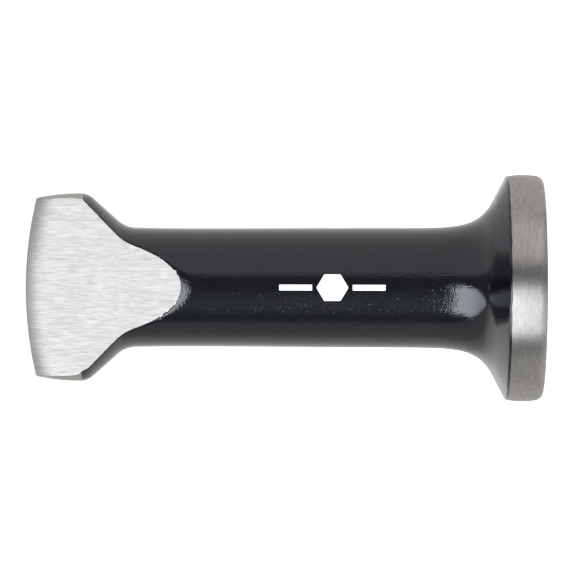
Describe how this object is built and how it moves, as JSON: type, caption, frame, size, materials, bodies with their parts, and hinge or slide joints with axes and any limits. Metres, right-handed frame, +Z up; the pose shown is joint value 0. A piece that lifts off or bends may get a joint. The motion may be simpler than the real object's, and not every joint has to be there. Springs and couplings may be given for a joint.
{
  "type": "brick bolster chisel",
  "caption": "Short one-piece forged steel chisel: broad crowned wedge blade, round black-lacquered shank and a wide flared striking head.",
  "frame": {"origin": "centre of the flat striking face, on which the tool stands", "axes": "+Z up the tool's axis from the striking face to the cutting edge; X across the blade; the blade's two flats face -Y and +Y"},
  "size_m": [0.06, 0.06, 0.1366],
  "materials": {
    "ground_steel": "ground bare steel, brushed along the blade and round the rim",
    "black_lacquer": "gloss black lacquer with a slight orange peel",
    "white_print": "satin white ink"
  },
  "bodies": {
    "root": {"forged_steel_body": "ground_steel", "lacquer_coat": "black_lacquer", "printed_hexagon": "white_print", "printed_bar_upper": "white_print", "printed_bar_lower": "white_print"}
  },
  "joints": []
}
